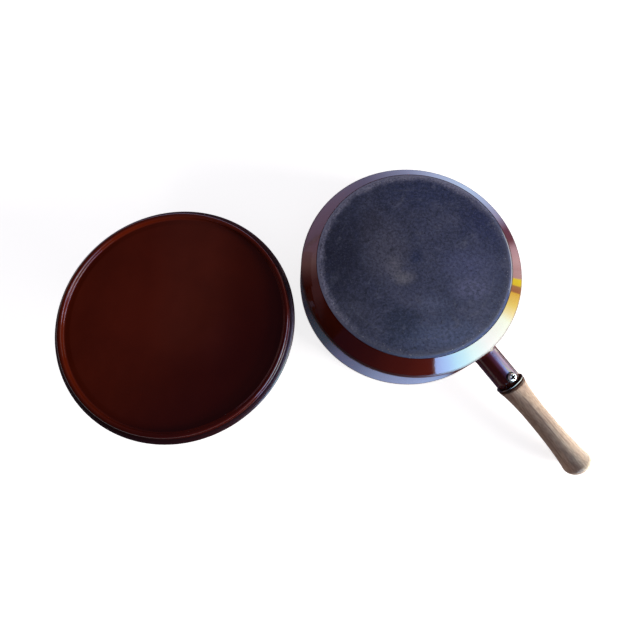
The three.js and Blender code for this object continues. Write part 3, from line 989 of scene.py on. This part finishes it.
def card(name, corners, stops, value=None, faces=None):
    """A board that only mirrors show. Its colour runs over the stops, (place, colour), by one of its own values."""
    obj = mesh_object(name, corners, faces or [[0, 1, 2, 3]])
    s = Shader(name)
    s.tree.nodes.remove(s.surface)
    colour = (*stops[0][1], 1)
    if value:
        ramp = s.tree.nodes.new("ShaderNodeValToRGB")
        s.put(ramp, 0, value(s))
        points = ramp.color_ramp.elements
        for i, (at, _) in enumerate(stops):
            point = points[i] if i < 2 else points.new(at)
            point.position = at
        for point, (_, shade) in zip(points, stops):
            point.color = (*shade, 1)
        colour = ramp.outputs[0]
    s.show(s.node("Emission", Color=colour, Strength=1.0))
    obj.data.materials.append(s.material)
    obj.visible_camera = False
    obj.visible_diffuse = False
    obj.visible_shadow = False


def along(axis, low, high):
    """A card's own value: 0 to 1 from low to high along an axis."""
    def value(s):
        return s.ramp_line(s.split(s.local())["XYZ".index(axis)], low, high)
    return value


def spread(stops):
    """The first and the last stop's place, and the stops with their places from 0 to 1."""
    low, high = stops[0][0], stops[-1][0]
    return low, high, [((at - low) / (high - low), colour) for at, colour in stops]


def quads(count):
    """Faces of a band whose corners come in pairs."""
    return [[2 * i, 2 * i + 1, 2 * i + 3, 2 * i + 2] for i in range(count)]


def wall(name, start, end, low, high, colour):
    """An upright card over a line on the floor."""
    card(name, [(*start, low), (*end, low), (*end, high), (*start, high)], [(0, colour)])


def side_card(name, x, bottom, top, stops):
    """An upright card along Y, with its stops in millimetres."""
    low, high, even = spread(stops)
    corners = [(x, y * MM, z) for y, z in ((low, bottom), (high, bottom), (high, top), (low, top))]
    card(name, corners, even, along("Y", low * MM, high * MM))


def ceiling(name, height, stops):
    """A level square card, with its stops along X in metres."""
    low, high, even = spread(stops)
    corners = [(x, y, height) for x, y in ((low, low), (high, low), (high, high), (low, high))]
    card(name, corners, even, along("X", low, high))


def ring_card(name, inner, outer, stops):
    """A flat card round the pan, just over the floor. Its stops are bearings in degrees."""
    count = 96
    low, high = math.radians(stops[0][0]), math.radians(stops[-1][0])
    corners = []
    for i in range(count + 1):
        a = low + (high - low) * i / count
        corners += [(PAN_AXIS.x + r * MM * math.cos(a), PAN_AXIS.y + r * MM * math.sin(a), FLOOR_CARD_HEIGHT)
                    for r in (inner, outer)]

    def bearing(s):
        s.axes = PAN
        x, y, _ = s.split(s.local())
        return s.math("MULTIPLY_ADD", s.math("ARCTAN2", y, x), 0.5 / math.pi, 0.5)

    card(name, corners, [((a + 180) / 360, colour) for a, colour in stops], bearing, quads(count))


def strip(name, sections, stops, axis):
    """A bent card: its sections are middles in metres and directions across it. Its stops run along an axis."""
    corners = []
    for middle, across in sections:
        side = STRIP_HALF * Vector(across).normalized()
        corners += [Vector(middle) - side, Vector(middle) + side]
    low, high, even = spread(stops)
    card(name, corners, even, along(axis, low, high), quads(len(sections) - 1))


floor()
world()
lamp("key", (2.69, -1.02, 0.55), (0.03, 0.0, 0.04), (1.6, 0.84), 34.4, (1.0, 0.97, 0.92))
lamp("fill", (-1.77, 2.15, 0.24), (0.0, 0.02, 0.04), (2.4, 0.4), 13.4, (0.95, 0.97, 1.0))

# What the enamel mirrors: a window on the right, a dark room, and the floor
DARK = (0.006, 0.004, 0.006)
WALL_BROWN = (0.06, 0.02, 0.016)
WINDOW_END = (9.2, 10.7, 8.6)
WINDOW_TOP = (5.5, 8.5, 18.0)
WINDOW_BEND = (0.694, -0.158, 0.785)
LEFT_X, FRONT_Y, BACK_Y = -1.6, -1.2, 1.4
ROOM_HEIGHT, LEFT_WALL_HEIGHT = 1.0, 0.4

side_card("window_card", 0.31, 0.0, 0.16, [
    (-490, (5.5, 9.0, 17.0)), (-442, (5.7, 9.4, 17.8)), (-339, (6.6, 12.0, 19.5)), (-268, (7.8, 15.0, 19.0)),
    (-215, (9.2, 15.8, 17.8)), (-173, (11.4, 16.5, 16.8)), (-109, (12.6, 14.1, 14.0)), (-61, (10.4, 12.0, 10.9)),
    (-32, WINDOW_END)])
side_card("golden_card", 0.228, 0.038, 0.057, [
    (-22, WINDOW_END), (-11, (8.2, 7.7, 4.0)), (0, (6.6, 5.5, 1.5)), (6, (5.8, 4.4, 1.0)), (11, (5.3, 3.8, 0.8)),
    (16.5, (4.6, 3.0, 0.4)), (18, (1.9, 0.9, 0.4)), (25.5, (1.9, 1.1, 0.5)), (27, (4.2, 3.4, 0.2)),
    (34.5, (4.2, 3.5, 0.2)), (36.5, (2.3, 1.6, 1.6)), (46, (2.2, 1.55, 1.6))])
side_card("left_card", -0.0265, 0.045, 0.0592, [
    (25, (0.02, 0.014, 0.016)), (36, (0.16, 0.11, 0.13)), (44, (0.42, 0.29, 0.30)), (52, (0.74, 0.50, 0.51)),
    (70, (0.85, 0.60, 0.74))])
strip("lilac_window", (
    ((1.026, 0.248, 0.070), (-0.353, 0.935, 0)), ((1.014, 0.193, 0.277), (-0.302, 0.953, 0)),
    ((0.961, 0.116, 0.464), (-0.233, 0.972, 0)), ((0.872, 0.016, 0.622), (-0.124, 0.992, 0)),
    (WINDOW_BEND, (0.170, 0.985, 0))), [
        (0.070, (6.0, 5.5, 7.5)), (0.277, (7.8, 6.9, 9.2)), (0.464, (6.2, 6.5, 10.0)), (0.622, (5.4, 7.2, 13.0)),
        (WINDOW_BEND[2], WINDOW_TOP)], "Z")
strip("violet_window", (
    (WINDOW_BEND, (-0.45, 0.79, 0.41)), ((0.588, -0.252, 0.831), (-0.52, 0.73, 0.44)),
    ((0.430, -0.385, 0.853), (-0.54, 0.715, 0.44)), ((0.132, -0.611, 0.764), (-0.62, 0.65, 0.44))), [
        (0.132, (0.14, 0.07, 0.19)), (0.27, (0.50, 0.29, 0.85)), (0.43, (0.62, 0.38, 1.15)), (0.588, (1.6, 1.7, 4.2)),
        (WINDOW_BEND[0], WINDOW_TOP)], "X")
ceiling("dark_ceiling", ROOM_HEIGHT, [
    (-2.5, DARK), (-0.85, DARK), (-0.50, (0.05, 0.035, 0.055)), (-0.2, (0.03, 0.03, 0.05)),
    (2.5, (0.03, 0.035, 0.06))])
wall("front_wall", (LEFT_X, FRONT_Y), (0.60, FRONT_Y), 0.0, ROOM_HEIGHT, (0.05, 0.03, 0.08))
wall("back_wall", (LEFT_X, BACK_Y), (-LEFT_X, BACK_Y), 0.0, ROOM_HEIGHT, (0.06, 0.05, 0.08))
side_card("left_wall", LEFT_X, 0.0, LEFT_WALL_HEIGHT, [
    (-1200, (0.06, 0.05, 0.08)), (-250, (0.15, 0.09, 0.12)), (-50, (0.30, 0.17, 0.21)), (280, (0.28, 0.19, 0.24)),
    (500, (0.70, 0.45, 0.48)), (720, (1.20, 0.82, 0.86)), (910, (1.10, 0.78, 0.98)), (1150, (0.95, 0.69, 1.04)),
    (1400, (0.90, 0.68, 1.05))])
wall("upper_left_wall", (LEFT_X, FRONT_Y), (LEFT_X, BACK_Y), LEFT_WALL_HEIGHT, ROOM_HEIGHT, DARK)
ring_card("wall_floor_card", 121.3, 131.0, [
    (-180, (0.03, 0.03, 0.04)), (-163, (0.02, 0.03, 0.05)), (-153, (0.05, 0.08, 0.12)), (-142, (0.09, 0.14, 0.21)),
    (-131, (0.26, 0.30, 0.55)), (-120, (0.35, 0.44, 0.77)), (-109, (0.54, 0.70, 1.17)), (-98, (0.59, 0.78, 1.30)),
    (-82, (0.54, 0.75, 1.25)), (-71, (0.39, 0.59, 1.00)), (-64, WALL_BROWN), (180, (0.03, 0.03, 0.04))])
ring_card("shoulder_floor_card", 131.0, 187.0, [
    (-180, (0.02, 0.02, 0.025)), (-85, (0.04, 0.03, 0.04)), (-72, (0.12, 0.10, 0.17)), (-56, (0.12, 0.10, 0.17)),
    (-44, WALL_BROWN), (30, WALL_BROWN), (90, (0.05, 0.04, 0.06)), (180, (0.02, 0.02, 0.025))])
ring_card("handle_floor_card", 187.0, 420.0, [(-32, (1.5, 1.9, 2.4)), (4, (1.5, 1.9, 2.4))])
ring_card("back_floor_card", 187.0, 1300.0, [
    (5, (1.75, 1.16, 1.2)), (12, (2.3, 1.60, 1.68)), (19, (1.55, 1.08, 1.28)), (22, (0.32, 0.18, 0.26)),
    (28, (0.28, 0.16, 0.28)), (35, (0.80, 0.87, 1.32)), (44, (1.0, 1.28, 1.95)), (54, (1.15, 1.55, 2.2)),
    (70, (0.98, 1.2, 1.8)), (84, (0.66, 0.77, 1.25)), (104, (0.38, 0.46, 0.81)), (120, (0.55, 0.56, 0.94)),
    (136, (0.74, 0.69, 1.11)), (160, (0.74, 0.66, 1.04))])


# Camera, fitted to the photograph's circles

CAMERA_FROM_PAN = Vector((-0.09722, -0.15546, 0.45463))
CAMERA_PITCH = math.radians(76.40)
CAMERA_ROLL = math.radians(0.52)
FOCAL_PIXELS = 406.69
PICTURE_PIXELS = 640.0
SENSOR = 36.0

camera_data = bpy.data.cameras.new("camera")
camera_data.sensor_width = SENSOR
camera_data.lens = FOCAL_PIXELS / PICTURE_PIXELS * SENSOR
camera_data.clip_start = 0.01
camera = bpy.data.objects.new("camera", camera_data)
bpy.context.scene.collection.objects.link(camera)
forward = Vector((0, math.cos(CAMERA_PITCH), -math.sin(CAMERA_PITCH)))
across = Vector((1, 0, 0))
down = forward.cross(across)
turned_across = across * math.cos(CAMERA_ROLL) + down * math.sin(CAMERA_ROLL)
turned_down = down * math.cos(CAMERA_ROLL) - across * math.sin(CAMERA_ROLL)
camera.matrix_world = basis(turned_across, -turned_down, -forward, PAN_AXIS + CAMERA_FROM_PAN)
bpy.context.scene.camera = camera
bpy.context.scene.view_settings.view_transform = "Standard"
